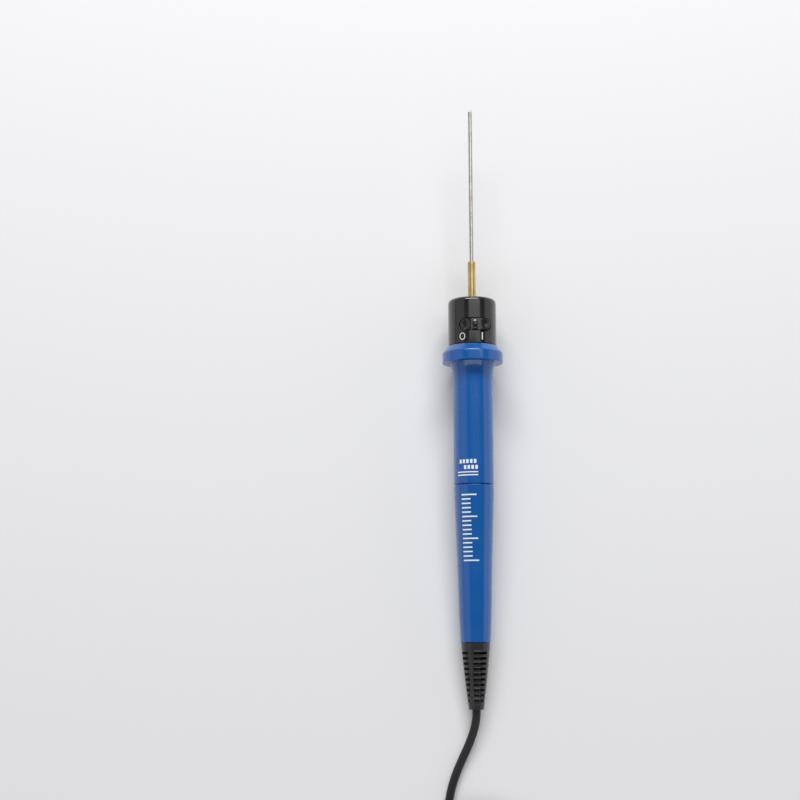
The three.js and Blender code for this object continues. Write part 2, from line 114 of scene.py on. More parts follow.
def add_camera():
    """Above the pen's tail, level with the strain relief's front, looking a little towards the tip."""
    data = bpy.data.cameras.new("camera")
    data.lens = CAMERA_LENS
    data.sensor_width = 36
    data.clip_start = 0.01
    camera = bpy.data.objects.new("camera", data)
    bpy.context.scene.collection.objects.link(camera)
    pitch = Matrix.Rotation(math.radians(CAMERA_PITCH), 4, "X")
    roll = Matrix.Rotation(math.radians(CAMERA_ROLL), 4, "Z")
    turn = (PEN_TURN.to_4x4() @ pitch @ roll).to_3x3().normalized().to_4x4()
    place = PEN @ Vector((-CAMERA_LEFT, RELIEF_FRONT, CAMERA_DISTANCE))
    camera.matrix_world = Matrix.Translation(place) @ turn
    bpy.context.scene.camera = camera


add_camera()


# ---- shader groups ----------------------------------------------------------------------------


def new_group(name, inputs, outputs):
    """A shader node group with named sockets; returns the tree and its two end nodes."""
    tree = bpy.data.node_groups.new(name, "ShaderNodeTree")
    kinds = {"colour": "NodeSocketColor", "value": "NodeSocketFloat", "vector": "NodeSocketVector"}
    for side, sockets in (("INPUT", inputs), ("OUTPUT", outputs)):
        for socket, kind in sockets:
            tree.interface.new_socket(name=socket, in_out=side, socket_type=kinds[kind])
    return tree, tree.nodes.new("NodeGroupInput"), tree.nodes.new("NodeGroupOutput")


def noise(tree, vector, scale, detail):
    node = tree.nodes.new("ShaderNodeTexNoise")
    node.inputs["Detail"].default_value = detail
    tree.links.new(vector, node.inputs["Vector"])
    if isinstance(scale, bpy.types.NodeSocket):
        tree.links.new(scale, node.inputs["Scale"])
    else:
        node.inputs["Scale"].default_value = scale
    return node.outputs["Fac"]


def math_node(tree, operation, a, b=0.0, c=0.0):
    node = tree.nodes.new("ShaderNodeMath")
    node.operation = operation
    for socket, value in zip(node.inputs, (a, b, c)):
        if isinstance(value, bpy.types.NodeSocket):
            tree.links.new(value, socket)
        else:
            socket.default_value = value
    return node.outputs[0]


def remap(tree, value, low, high, to_low, to_high, interpolation="LINEAR"):
    node = tree.nodes.new("ShaderNodeMapRange")
    node.interpolation_type = interpolation
    ends = {"From Min": low, "From Max": high, "To Min": to_low, "To Max": to_high}
    for name, end in ends.items():
        node.inputs[name].default_value = end
    tree.links.new(value, node.inputs["Value"])
    return node.outputs["Result"]


def mix(tree, factor, a, b):
    node = tree.nodes.new("ShaderNodeMix")
    node.data_type = "RGBA"
    for name, value in (("Factor", factor), ("A", a), ("B", b)):
        socket = next(s for s in node.inputs if s.name == name and s.enabled)
        tree.links.new(value, socket)
    return next(s for s in node.outputs if s.enabled)


def stretched(tree, vector, scale, turn=(0, 0, 0)):
    node = tree.nodes.new("ShaderNodeMapping")
    node.inputs["Scale"].default_value = scale
    node.inputs["Rotation"].default_value = turn
    tree.links.new(vector, node.inputs["Vector"])
    return node.outputs[0]


# Noise scales are features to the metre. Hairline scuffs are long along Y before they are turned, and
# turning lines lie close together along Y, so that they run round it.
CLOUDS = 45
SMEARS = 130
HAIRS = (5200, 160, 5200)
HAIR_TURN = (0.2, 0.1, 0.5)
TARNISH_CLOUDS = 210
TURNING_LINES = (120, 9000, 120)


def moulded_group():
    """Moulded plastic or rubber: a faint cloud of colour, fine grain, handling haze and hairline scuffs."""
    tree, start, end = new_group(
        "moulded_surface",
        [("Vector", "vector"), ("Colour", "colour"), ("Worn colour", "colour"), ("Roughness", "value"),
         ("Haze", "value"), ("Grain scale", "value"), ("Scuffs", "value")],
        [("Colour", "colour"), ("Roughness", "value"), ("Height", "value")])
    given = start.outputs
    cloud = noise(tree, given["Vector"], CLOUDS, 2)
    grain = noise(tree, given["Vector"], given["Grain scale"], 2)
    smear = noise(tree, given["Vector"], SMEARS, 4)
    hairs = noise(tree, stretched(tree, given["Vector"], HAIRS, HAIR_TURN), 1, 1)
    hairs = remap(tree, hairs, 0.69, 0.74, 0, 1)
    scuffs = math_node(tree, "MULTIPLY", hairs, given["Scuffs"])
    tint = math_node(tree, "ADD", remap(tree, cloud, 0.35, 0.7, 0, 0.45), scuffs)
    worn = mix(tree, tint, given["Colour"], given["Worn colour"])
    haze = math_node(tree, "MULTIPLY", remap(tree, smear, 0.4, 0.75, 0, 1), given["Haze"])
    rough = math_node(tree, "ADD", given["Roughness"], haze)
    rough = math_node(tree, "MULTIPLY_ADD", scuffs, 0.25, rough)
    height = math_node(tree, "MULTIPLY_ADD", scuffs, -0.6, grain)
    tree.links.new(worn, end.inputs["Colour"])
    tree.links.new(rough, end.inputs["Roughness"])
    tree.links.new(height, end.inputs["Height"])
    return tree


def metal_group():
    """Ground or turned metal: fine lines round the Y axis and clouds of tarnish."""
    tree, start, end = new_group(
        "worked_metal",
        [("Vector", "vector"), ("Colour", "colour"), ("Tarnish", "colour"), ("Roughness", "value"),
         ("Lines", "value")],
        [("Colour", "colour"), ("Roughness", "value"), ("Height", "value")])
    given = start.outputs
    lines = noise(tree, stretched(tree, given["Vector"], TURNING_LINES), 1, 3)
    cloud = noise(tree, given["Vector"], TARNISH_CLOUDS, 4)
    tarnish = remap(tree, cloud, 0.42, 0.72, 0, 0.8)
    shade = mix(tree, tarnish, given["Colour"], given["Tarnish"])
    scored = math_node(tree, "MULTIPLY", lines, given["Lines"])
    rough = math_node(tree, "MULTIPLY_ADD", tarnish, 0.12, given["Roughness"])
    rough = math_node(tree, "MULTIPLY_ADD", scored, 0.2, rough)
    tree.links.new(shade, end.inputs["Colour"])
    tree.links.new(rough, end.inputs["Roughness"])
    tree.links.new(scored, end.inputs["Height"])
    return tree


MOULDED = moulded_group()
METAL = metal_group()

# ---- materials --------------------------------------------------------------------------------


def clear_plain_materials():
    """Removes the frame's plain materials, so that the ones made here can take their names."""
    for plain in list(bpy.data.materials):
        bpy.data.materials.remove(plain)


def linear(code):
    """Linear RGBA of an sRGB code such as 0b5499."""
    channels = [int(code[i:i + 2], 16) / 255 for i in (0, 2, 4)]
    return (*[c / 12.92 if c <= 0.04045 else ((c + 0.055) / 1.055) ** 2.4 for c in channels], 1)


def material(name, group, bump, bump_distance, settings, **values):
    """A Principled material fed by one surface group; settings are plain socket values of the shader.
    A value given as text is an sRGB code, and the bump's distance is in millimetres."""
    values = {socket: linear(v) if isinstance(v, str) else v for socket, v in values.items()}
    made = bpy.data.materials.new(name)
    made.use_nodes = True
    tree = made.node_tree
    shader = tree.nodes["Principled BSDF"]
    place = tree.nodes.new("ShaderNodeTexCoord")
    surface = tree.nodes.new("ShaderNodeGroup")
    surface.node_tree = group
    tree.links.new(place.outputs["Object"], surface.inputs["Vector"])
    for socket, value in values.items():
        surface.inputs[socket.replace("_", " ").capitalize()].default_value = value
    relief = tree.nodes.new("ShaderNodeBump")
    relief.inputs["Strength"].default_value = bump
    relief.inputs["Distance"].default_value = bump_distance * MM
    tree.links.new(surface.outputs["Colour"], shader.inputs["Base Color"])
    tree.links.new(surface.outputs["Roughness"], shader.inputs["Roughness"])
    tree.links.new(surface.outputs["Height"], relief.inputs["Height"])
    tree.links.new(relief.outputs["Normal"], shader.inputs["Normal"])
    for socket, value in settings.items():
        shader.inputs[socket].default_value = value
    made.diffuse_color = values["colour"]
    return made


DEEP_COAT = {"Coat Weight": 0.55, "Coat Roughness": 0.05}
THIN_COAT = {"Coat Weight": 0.5, "Coat Roughness": 0.06}
SOFT_COAT = {"Coat Weight": 0.4, "Coat Roughness": 0.14}
SATIN = {"Specular IOR Level": 0.4}
TRANSLUCENT = {"Subsurface Weight": 0.08}
BARE_METAL = {"Metallic": 1.0}
UNCOATED = {}

clear_plain_materials()
blue_plastic = material(
    "blue_plastic", MOULDED, 0.08, 0.02, DEEP_COAT, colour="00549f", worn_colour="0459a4",
    roughness=0.26, haze=0.06, grain_scale=5200, scuffs=0.12)
black_gloss = material(
    "black_gloss", MOULDED, 0.06, 0.02, THIN_COAT, colour="141416", worn_colour="1e1e20",
    roughness=0.2, haze=0.1, grain_scale=5000, scuffs=0.15)
black_rubber = material(
    "black_rubber", MOULDED, 0.2, 0.03, SOFT_COAT, colour="17171a", worn_colour="232327",
    roughness=0.34, haze=0.12, grain_scale=3800, scuffs=0.1)
cord_jacket = material(
    "cord_jacket", MOULDED, 0.3, 0.03, SATIN, colour="19191b", worn_colour="27272a",
    roughness=0.42, haze=0.12, grain_scale=3400, scuffs=0.1)
tie_plastic = material(
    "tie_plastic", MOULDED, 0.3, 0.03, SATIN, colour="222226", worn_colour="34343a",
    roughness=0.5, haze=0.1, grain_scale=4000, scuffs=0.2)
nylon = material(
    "nylon", MOULDED, 0.3, 0.04, TRANSLUCENT, colour="ded8c6", worn_colour="cfc7b0",
    roughness=0.45, haze=0.12, grain_scale=3600, scuffs=0.1)
ceramic = material(
    "ceramic", MOULDED, 0.5, 0.05, UNCOATED, colour="ebe6da", worn_colour="d8d0c0",
    roughness=0.62, haze=0.1, grain_scale=5200, scuffs=0.0)
red_insulation = material(
    "red_insulation", MOULDED, 0.1, 0.02, UNCOATED, colour="b3201c", worn_colour="9c1b18",
    roughness=0.4, haze=0.1, grain_scale=4000, scuffs=0.1)
black_insulation = material(
    "black_insulation", MOULDED, 0.1, 0.02, UNCOATED, colour="1d1d1f", worn_colour="2a2a2c",
    roughness=0.4, haze=0.1, grain_scale=4000, scuffs=0.1)
white_insulation = material(
    "white_insulation", MOULDED, 0.1, 0.02, UNCOATED, colour="ececea", worn_colour="deded8",
    roughness=0.4, haze=0.1, grain_scale=4000, scuffs=0.1)
white_print = material(
    "white_print", MOULDED, 0.1, 0.01, UNCOATED, colour="eef0f0", worn_colour="cfd6da",
    roughness=0.45, haze=0.1, grain_scale=6000, scuffs=0.3)
steel = material(
    "steel", METAL, 0.15, 0.01, BARE_METAL, colour="cfccc6", tarnish="b4afa6", roughness=0.14, lines=0.5)
brass = material(
    "brass", METAL, 0.3, 0.01, BARE_METAL, colour="dcc48a", tarnish="b0935a", roughness=0.22, lines=0.7)
nickel = material(
    "nickel", METAL, 0.1, 0.01, BARE_METAL, colour="d4d4d6", tarnish="bdbdc2", roughness=0.14, lines=0.3)
gold = material(
    "gold", METAL, 0.1, 0.01, BARE_METAL, colour="e0b45a", tarnish="c8963c", roughness=0.18, lines=0.3)

SLOT_MATERIALS = {
    "steel": steel, "brass": brass, "ceramic": ceramic, "black_gloss": black_gloss,
    "blue_plastic": blue_plastic, "black_rubber": black_rubber, "cord_jacket": cord_jacket,
    "nylon": nylon, "red_insulation": red_insulation, "black_insulation": black_insulation,
    "white_insulation": white_insulation, "tie": tie_plastic, "plated_shell": nickel, "gold_contact": gold,
}


def finish_frame_nodes():
    """Gives every node of the frame the material of its slot."""
    for row in frame["record"]["subparts"]:
        node = frame["nodes"][row["node"]]
        node.data.materials.clear()
        node.data.materials.append(SLOT_MATERIALS[row["material_slot"]])


finish_frame_nodes()


# ---- mesh helpers -----------------------------------------------------------------------------


def filleted(corners, steps=4, closed=True):
    """An outline from (radius, station, fillet) corners, with each fillet as an arc."""
    points = []
    count = len(corners)
    for k, (r, y, fillet) in enumerate(corners):
        here = Vector((r, y))
        if not fillet or (not closed and k in (0, count - 1)):
            points.append(here)
            continue
        back = (Vector(corners[k - 1][:2]) - here).normalized()
        ahead = (Vector(corners[(k + 1) % count][:2]) - here).normalized()
        half = back.angle(ahead) / 2
        reach = fillet / math.tan(half)
        centre = here + (back + ahead).normalized() * (fillet / math.sin(half))
        first = here + back * reach - centre
        last = here + ahead * reach - centre
        sweep = first.angle_signed(last)
        for step in range(steps + 1):
            points.append(centre + Matrix.Rotation(-sweep * step / steps, 2) @ first)
    return [tuple(p) for p in points]


def stretch(radius, start, end, spacing=1.5):
    """Corners at even stations along a straight side, so that a cut in it bends the shading only nearby."""
    count = round(abs(end - start) / spacing)
    return [(radius, start + (end - start) * k / count, 0) for k in range(1, count)]


def smooth_line(points, steps):
    """A Catmull-Rom line through points of any dimension."""
    ends = [Vector(points[0]) * 2 - Vector(points[1]), *map(Vector, points),
            Vector(points[-1]) * 2 - Vector(points[-2])]
    line = []
    for p0, p1, p2, p3 in zip(ends, ends[1:], ends[2:], ends[3:]):
        for k in range(steps):
            t = k / steps
            line.append(0.5 * (2 * p1 + (p2 - p0) * t + (2 * p0 - 5 * p1 + 4 * p2 - p3) * t ** 2
                               + (3 * p1 - p0 - 3 * p2 + p3) * t ** 3))
    return [tuple(p) for p in line] + [tuple(points[-1])]


def turned(outline, steps=96, closed=True):
    """A bmesh spun round the Y axis from (radius, station) points."""
    bm = bmesh.new()
    ring = [bm.verts.new((r, y, 0)) for r, y in outline]
    pairs = list(zip(ring, ring[1:] + ring[:1]))
    if not closed:
        pairs.pop()
    edges = [bm.edges.new(pair) for pair in pairs]
    bmesh.ops.spin(bm, geom=ring + edges, cent=(0, 0, 0), axis=(0, 1, 0), dvec=(0, 0, 0),
                   angle=2 * math.pi, steps=steps, use_merge=True, use_duplicate=False)
    bmesh.ops.remove_doubles(bm, verts=bm.verts, dist=1e-4)
    bmesh.ops.dissolve_degenerate(bm, edges=bm.edges, dist=1e-5)
    bmesh.ops.recalc_face_normals(bm, faces=bm.faces)
    return bm


def thickened(bm, vec):
    """Extrudes a flat bmesh by a vector into a closed solid."""
    fresh = bmesh.ops.extrude_face_region(bm, geom=bm.faces[:])
    moved = [v for v in fresh["geom"] if isinstance(v, bmesh.types.BMVert)]
    bmesh.ops.translate(bm, verts=moved, vec=vec)
    bmesh.ops.recalc_face_normals(bm, faces=bm.faces)
    return bm


def flat_band(*outlines):
    """A flat bmesh between two closed outlines of points."""
    bm = bmesh.new()
    loops = []
    for outline in outlines:
        ring = [bm.verts.new(point) for point in outline]
        loops += [bm.edges.new(pair) for pair in zip(ring, ring[1:] + ring[:1])]
    bmesh.ops.bridge_loops(bm, edges=loops)
    return bm


def prism(outline, bottom, top):
    """A bmesh of an (x, y) outline raised from bottom to top along Z."""
    bm = bmesh.new()
    bm.faces.new([bm.verts.new((x, y, bottom)) for x, y in outline])
    return thickened(bm, (0, 0, top - bottom))


def block(size, centre=(0, 0, 0)):
    bm = bmesh.new()
    bmesh.ops.create_cube(bm, size=1)
    bmesh.ops.scale(bm, verts=bm.verts, vec=size)
    bmesh.ops.translate(bm, verts=bm.verts, vec=centre)
    return bm


def rounded_block(size, corner, centre, segments=4):
    """A block whose edges along Y are rounded."""
    bm = block(size)
    edges = [e for e in bm.edges if abs((e.verts[0].co - e.verts[1].co).y) > size[1] / 2]
    bmesh.ops.bevel(bm, geom=edges, offset=corner, offset_type="OFFSET", segments=segments, profile=0.5,
                    affect="EDGES", material=-1)
    bmesh.ops.translate(bm, verts=bm.verts, vec=centre)
    return bm


def ball(radius, centre, across):
    bm = bmesh.new()
    bmesh.ops.create_uvsphere(bm, u_segments=across, v_segments=across // 2, radius=radius)
    bmesh.ops.translate(bm, verts=bm.verts, vec=centre)
    return bm


def stadium(half_length, half_width, steps=16):
    """Outline with round ends, half_length along X and half_width along Y."""
    straight = half_length - half_width
    points = []
    for side, start in ((1, -math.pi / 2), (-1, math.pi / 2)):
        for k in range(steps + 1):
            angle = start + math.pi * k / steps
            points.append((side * straight + half_width * math.cos(angle), half_width * math.sin(angle)))
    return points


def merged(*parts):
    """Several bmeshes as one, as separate shells."""
    whole = bmesh.new()
    for part in parts:
        mesh = bpy.data.meshes.new("part")
        part.to_mesh(mesh)
        part.free()
        whole.from_mesh(mesh)
        bpy.data.meshes.remove(mesh)
    return whole


def to_object(bm, name):
    mesh = bpy.data.meshes.new(name)
    bm.to_mesh(mesh)
    bm.free()
    made = bpy.data.objects.new(name, mesh)
    bpy.context.scene.collection.objects.link(made)
    return made


def combined(body, tool, operation="DIFFERENCE"):
    """The bmesh that a boolean of two bmeshes leaves."""
    base, other = to_object(body, "base"), to_object(tool, "tool")
    modifier = base.modifiers.new("boolean", "BOOLEAN")
    modifier.object, modifier.operation, modifier.solver = other, operation, "EXACT"
    depsgraph = bpy.context.evaluated_depsgraph_get()
    result = bmesh.new()
    result.from_object(base, depsgraph)
    for made in (base, other):
        mesh = made.data
        bpy.data.objects.remove(made)
        bpy.data.meshes.remove(mesh)
    bmesh.ops.remove_doubles(result, verts=result.verts, dist=1e-4)
    bmesh.ops.dissolve_degenerate(result, edges=result.edges, dist=1e-4)
    return result


def eased(bm, width, segments=2, sharper_than=35, where=lambda middle: True):
    """Bevels the edges that turn by more than an angle, where their middle is asked for."""
    limit = math.radians(sharper_than)
    edges = [e for e in bm.edges if e.is_manifold and e.calc_face_angle() > limit
             and where((e.verts[0].co + e.verts[1].co) / 2)]
    bmesh.ops.bevel(bm, geom=edges, offset=width, offset_type="OFFSET", segments=segments, profile=0.5,
                    affect="EDGES", material=-1, clamp_overlap=True)
    return bm


def piece(bm, name, place, surface, body, stands_for=(), sharp=38):
    """Finishes a bmesh as a smooth-shaded piece of the object that rides on a body."""
    made = to_object(bm, name)
    made.data.transform(place)
    made.data.shade_smooth()
    made.data.set_sharp_from_angle(angle=math.radians(sharp))
    even = made.modifiers.new("even_shading", "WEIGHTED_NORMAL")
    even.keep_sharp = True
    made.data.materials.append(surface)
    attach(made, body)
    if stands_for:
        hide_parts(*stands_for)
    return made


# ---- cord, tie and plug -------------------------------------------------------------------------

LANE = 3.7
FOLD_R = 10.8
RUN = 60
WAIST = 1.85
TIE_LIFT = 0.9
TIE_REACH = 12
LEAD_ROUTE = [
    (0, -132.6, 5), (0, -134.4, 4.9), (-0.2, -138, 4.6), (-1.3, -143, 3.75), (-3.6, -149, 2.75),
    (-6.4, -155, 2.05), (-9, -161, 1.85), (-11, -167, 1.8), (-12.2, -173, 1.8), (-12.8, -178.2, 1.8),
    (-13.3, -183.5, 1.8), (-13.9, -188.5, 1.8),
]
TAIL_ROUTE = [
    (-14, -258.5, 9.1), (-13.5, -263, 8.8), (-12.7, -267.2, 8.4), (-11.2, -272, 6.9), (-9.4, -277, 5.2),
    (-8.3, -282, 4.3), (-8, -287, 4), (-8, -290, 4),
]
TURNS = [(1, 0), (0, 0), (0, 1), (1, 1), (1, 2)]


def ease(t):
    return t * t * (3 - 2 * t)


def hank_route(steps=18):
    """Five turns of a flat hank, each (lane out, layer up), drawn in at the waist and lifted over the tie."""
    half = RUN / 2

    def side(lane, y):
        swing = (1 - math.cos(math.pi * y / half)) / 2
        return WAIST + LANE * lane + (FOLD_R - WAIST) * swing

    def height(layer, y):
        lift = TIE_LIFT * (1 + math.cos(math.pi * y / TIE_REACH)) / 2 if abs(y) < TIE_REACH else 0
        return CORD_R + LANE * layer + lift

    points = []
    for (lane, layer), after in zip(TURNS, TURNS[1:] + [None]):
        for k in range(steps):
            y = half - RUN * k / steps
            points.append((-side(lane, y), y, height(layer, y)))
        if after is None:
            break
        reach = FOLD_R + LANE * lane
        for k in range(steps):
            angle = math.pi * (1 + k / steps)
            points.append((reach * math.cos(angle), reach * math.sin(angle) - half, height(layer, RUN)))
        for k in range(steps):
            y = RUN * k / steps - half
            points.append((side(lane, y), y, height(layer + (after[1] - layer) * ease(k / steps), y)))
        for k in range(steps):
            angle = math.pi * k / steps
            reach = FOLD_R + LANE * (lane + (after[0] - lane) * ease(k / steps))
            points.append((reach * math.cos(angle), reach * math.sin(angle) + half, height(after[1], RUN)))
    return [(x + HANK_AT[0], y + HANK_AT[1], z) for x, y, z in points]


def add_cord(pieces_on_it):
    curve = bpy.data.curves.new("cord", "CURVE")
    curve.dimensions = "3D"
    curve.bevel_depth = CORD_R * MM
    curve.bevel_resolution = 6
    curve.use_fill_caps = True
    route = smooth_line(LEAD_ROUTE + hank_route()[1:] + TAIL_ROUTE, 3)
    spline = curve.splines.new("POLY")
    spline.points.add(len(route) - 1)
    for point, (x, y, z) in zip(spline.points, route):
        point.co = (x * MM, y * MM, z * MM, 1)
    spline.use_smooth = True
    cord = bpy.data.objects.new("cord", curve)
    bpy.context.scene.collection.objects.link(cord)
    curve.materials.append(cord_jacket)
    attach(cord, "pen")
    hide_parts("cord_lead", "cord_hank", "cord_tail")


def taut_outline(centres, reach, steps=6):
    """The outline of a band pulled tight round circles, whose centres are listed anticlockwise."""
    count = len(centres)
    points = []
    for k, (x, z) in enumerate(centres):
        before, after = centres[k - 1], centres[(k + 1) % count]
        start = math.atan2(z - before[1], x - before[0]) - math.pi / 2
        sweep = (math.atan2(after[1] - z, after[0] - x) - math.pi / 2 - start) % (2 * math.pi)
        for step in range(steps + 1):
            angle = start + sweep * step / steps
            points.append((x + reach * math.cos(angle), z + reach * math.sin(angle)))
    return points


TIE_WIDTH = 5
TIE_THICKNESS = 0.8
TIE_SLACK = 0.05
LAP_SIZE = (7.5, TIE_WIDTH - 0.4, 0.6)
LAP_AT = 1.2
LAP_LIFT = 0.2


def add_tie():
    """A strap round the waist, its loose end lapped over itself on the slope of the top."""
    outer_lane = WAIST + LANE
    low, middle, high = (CORD_R + TIE_LIFT + LANE * layer for layer in (0, 1, 2))
    centres = [(-outer_lane, low), (outer_lane, low), (outer_lane, middle), (-outer_lane, high)]
    inner = CORD_R + TIE_SLACK
    outer = inner + TIE_THICKNESS
    edges = [[(x, -TIE_WIDTH / 2, z) for x, z in taut_outline(centres, reach)] for reach in (inner, outer)]
    strap = thickened(flat_band(*edges), (0, TIE_WIDTH, 0))
    eased(strap, 0.2, 2, sharper_than=60)
    lap = eased(block(LAP_SIZE), 0.2, 2)
    slope = math.atan2(high - middle, 2 * outer_lane)
    height = (middle + high) / 2 - LAP_AT * math.tan(slope) + outer + LAP_LIFT
    turn = Matrix.Translation((LAP_AT, 0, height)) @ Matrix.Rotation(slope, 4, "Y")
    bmesh.ops.transform(lap, matrix=turn, verts=lap.verts)
    return piece(merged(strap, lap), "tie_strap", HANK, tie_plastic, "pen", ["cord_tie"])


# The plug is made pointing to -Y, with the cord's entry at its origin.
BOOT_LENGTH = 8
BOOT_R = 2.6
BOOT_RIBS = 6
BOOT_RIB_R = 2.66
BOOT_RIB_GROWTH = 0.055
BOOT_RIB_PITCH = 1.1
BOOT_GROOVE = 0.4
CORD_HOLE_R = CORD_R + 0.25
GRIP_SIZE = (15.6, 22, 8)
GRIP_CORNER = 1.8
GRIP_MIDDLE = -BOOT_LENGTH - GRIP_SIZE[1] / 2
RIDGES = 5
RIDGE_SIZE = (7.5, 0.7, 0.6)
RIDGE_PITCH = 1.7
SHELL_SIZE = (12, 16.5, 4.5)
SHELL_WALL = 0.3
SHELL_CORNER = 0.6
SHELL_INNER_CORNER = 0.35
SHELL_INSERT = 4.5
SHELL_BACK = -BOOT_LENGTH - GRIP_SIZE[1] + SHELL_INSERT
SHELL_MIDDLE = (0, SHELL_BACK - SHELL_SIZE[1] / 2, 0)
SHELL_FRONT = SHELL_BACK - SHELL_SIZE[1]
LATCH_WINDOW = (2.4, 2.2, 8)
LATCH_AT = (2.9, 6.2)
TONGUE_THICKNESS = 1.8
TONGUE_TOP = SHELL_SIZE[2] / 2 - SHELL_WALL - 0.2
CONTACTS = 4
CONTACT_SIZE = (1, 7.5, 0.2)
CONTACT_PITCH = 2.25


def plug_boot():
    """The ribbed sleeve round the cord behind the grip."""
    ribs = []
    for k in range(BOOT_RIBS):
        radius = BOOT_RIB_R + BOOT_RIB_GROWTH * k
        station = -0.6 - BOOT_RIB_PITCH * k
        ribs += [(radius, station, 0), (radius - BOOT_GROOVE, station - 0.2, 0),
                 (radius - BOOT_GROOVE, station - 0.75, 0), (radius + 0.04, station - 0.95, 0)]
    end = -BOOT_LENGTH - 1
    outline = [(CORD_HOLE_R, 0, 0.1), (BOOT_R, 0, 0.15), *ribs, (3.3, end, 0), (CORD_HOLE_R, end, 0)]
    return turned(filleted(outline), 48)


def plug_grip():
    """The moulded grip: finger grooves in both faces, a seat for the shell and a hole for the cord."""
    length, height = GRIP_SIZE[1:]
    body = rounded_block(GRIP_SIZE, GRIP_CORNER, (0, GRIP_MIDDLE, 0), segments=6)
    eased(body, 0.7, 3, sharper_than=60)
    first = GRIP_MIDDLE + RIDGE_PITCH * (RIDGES - 1) / 2
    ridges = [block(RIDGE_SIZE, (0, first - RIDGE_PITCH * k, side * height / 2))
              for k in range(RIDGES) for side in (-1, 1)]
    seat_size = (SHELL_SIZE[0] + 0.1, 2 * SHELL_INSERT, SHELL_SIZE[2] + 0.1)
    seat = block(seat_size, (0, -BOOT_LENGTH - length, 0))
    end = -BOOT_LENGTH - 3.3
    hole = turned([(0, 1), (CORD_HOLE_R, 1), (CORD_HOLE_R, end), (0, end)], 48, closed=False)
    body = combined(combined(combined(body, merged(*ridges)), seat), hole)
    return eased(body, 0.12, 2, sharper_than=50, where=lambda m: abs(m.x) < 4.5 and abs(m.z) > 3.2)


def plug_shell():
    """The folded metal shell, open at its front, with two latch windows in each face."""
    width, length, height = SHELL_SIZE
    outside = rounded_block(SHELL_SIZE, SHELL_CORNER, SHELL_MIDDLE)
    hollow = (width - 2 * SHELL_WALL, length + 2, height - 2 * SHELL_WALL)
    inside = rounded_block(hollow, SHELL_INNER_CORNER, SHELL_MIDDLE)
    across, along = LATCH_AT
    windows = [block(LATCH_WINDOW, (side * across, SHELL_FRONT + along, 0)) for side in (-1, 1)]
    return eased(combined(combined(outside, inside), merged(*windows)), 0.07, 2, sharper_than=50)


def plug_tongue():
    """The plastic tongue above the contacts, on a block that fills the back of the shell."""
    width = SHELL_SIZE[0] - 2 * SHELL_WALL - 0.4
    reach = SHELL_SIZE[1] - 1
    core = block((width, 4, 2 * TONGUE_TOP), (0, SHELL_BACK - 2.2, 0))
    middle = (0, SHELL_BACK - 0.2 - reach / 2, TONGUE_TOP - TONGUE_THICKNESS / 2)
    blade = block((width, reach, TONGUE_THICKNESS), middle)
    return eased(combined(core, blade, "UNION"), 0.12, 2, sharper_than=50)


def plug_contact(k):
    """One of the contact strips under the tongue, counted from -X."""
    across = (k - (CONTACTS - 1) / 2) * CONTACT_PITCH
    strip = block(CONTACT_SIZE, (across, SHELL_FRONT + 6, TONGUE_TOP - TONGUE_THICKNESS - 0.12))
    return eased(strip, 0.06, 2)


def add_plug():
    """USB-A plug that points away from the pen; returns its pieces."""
    grip = merged(plug_grip(), plug_boot())
    pieces = [
        piece(grip, "plug_grip", PLUG, black_rubber, "pen", ["usb_grip"]),
        piece(plug_shell(), "plug_shell", PLUG, nickel, "pen", ["usb_shell"]),
        piece(plug_tongue(), "plug_tongue", PLUG, white_insulation, "pen", ["usb_tongue"]),
    ]
    for k in range(CONTACTS):
        stands_for = [f"usb_contact_{k + 1}"]
        name = f"plug_contact_{k + 1}"
        pieces.append(piece(plug_contact(k), name, PLUG, gold, "pen", stands_for))
    return pieces


add_cord([add_tie(), *add_plug()])

# ---- needle and sleeve ------------------------------------------------------------------------

SLEEVE_BACK = SWITCH_AT + 4.1
SLEEVE_BORE_R = 1.25
SLEEVE_CHAMFER = 0.25
NEEDLE_BORE_R = 0.5
NEEDLE_BORE_FRONT = TIP - 2.4


def add_needle():
    """A tube whose bore stops short of the round tip."""
    outline = filleted([
        (0, NEEDLE_BORE_FRONT + 0.2, 0), (NEEDLE_BORE_R, NEEDLE_BORE_FRONT, 0),
        (NEEDLE_BORE_R, SLEEVE_BACK, 0), (NEEDLE_R, SLEEVE_BACK, 0.1),
        (NEEDLE_R, TIP, NEEDLE_R * 0.96), (0, TIP, 0)], steps=8, closed=False)
    piece(turned(outline, 40, closed=False), "needle_tube", PEN, steel, "pen", ["needle"])


def add_sleeve():
    """A plain turned tube with a chamfered front edge."""
    outline = filleted([
        (SLEEVE_BORE_R, SLEEVE_BACK, 0.05), (SLEEVE_R, SLEEVE_BACK, 0.1),
        (SLEEVE_R, SLEEVE_FRONT - SLEEVE_CHAMFER, 0.1), (SLEEVE_R - SLEEVE_CHAMFER, SLEEVE_FRONT, 0.08),
        (SLEEVE_BORE_R, SLEEVE_FRONT, 0.08)], steps=3)
    piece(turned(outline, 56), "sleeve", PEN, brass, "pen", ["brass_sleeve"])


add_needle()
add_sleeve()

# ---- collar and its marks ---------------------------------------------------------------------

ROCKER_HALF_LENGTH = 6.8
ROCKER_HALF_WIDTH = 2.6
ROCKER_TOP_R = COLLAR_R + 0.2

COLLAR_BACK = FLANGE_FRONT + GAP
COLLAR_EDGE = 1.9
CAVITY_R = 9.0
CAVITY_BACK = COLLAR_BACK + 1.7
CAVITY_FRONT = COLLAR_FRONT - 2.5
SPIGOT_R = 8.2
SPIGOT_BORE_R = 7.2
SLEEVE_HOLE_R = SLEEVE_R + 0.3
BOSS_R = 4.2
BOSS_FRONT = COLLAR_FRONT + 0.7


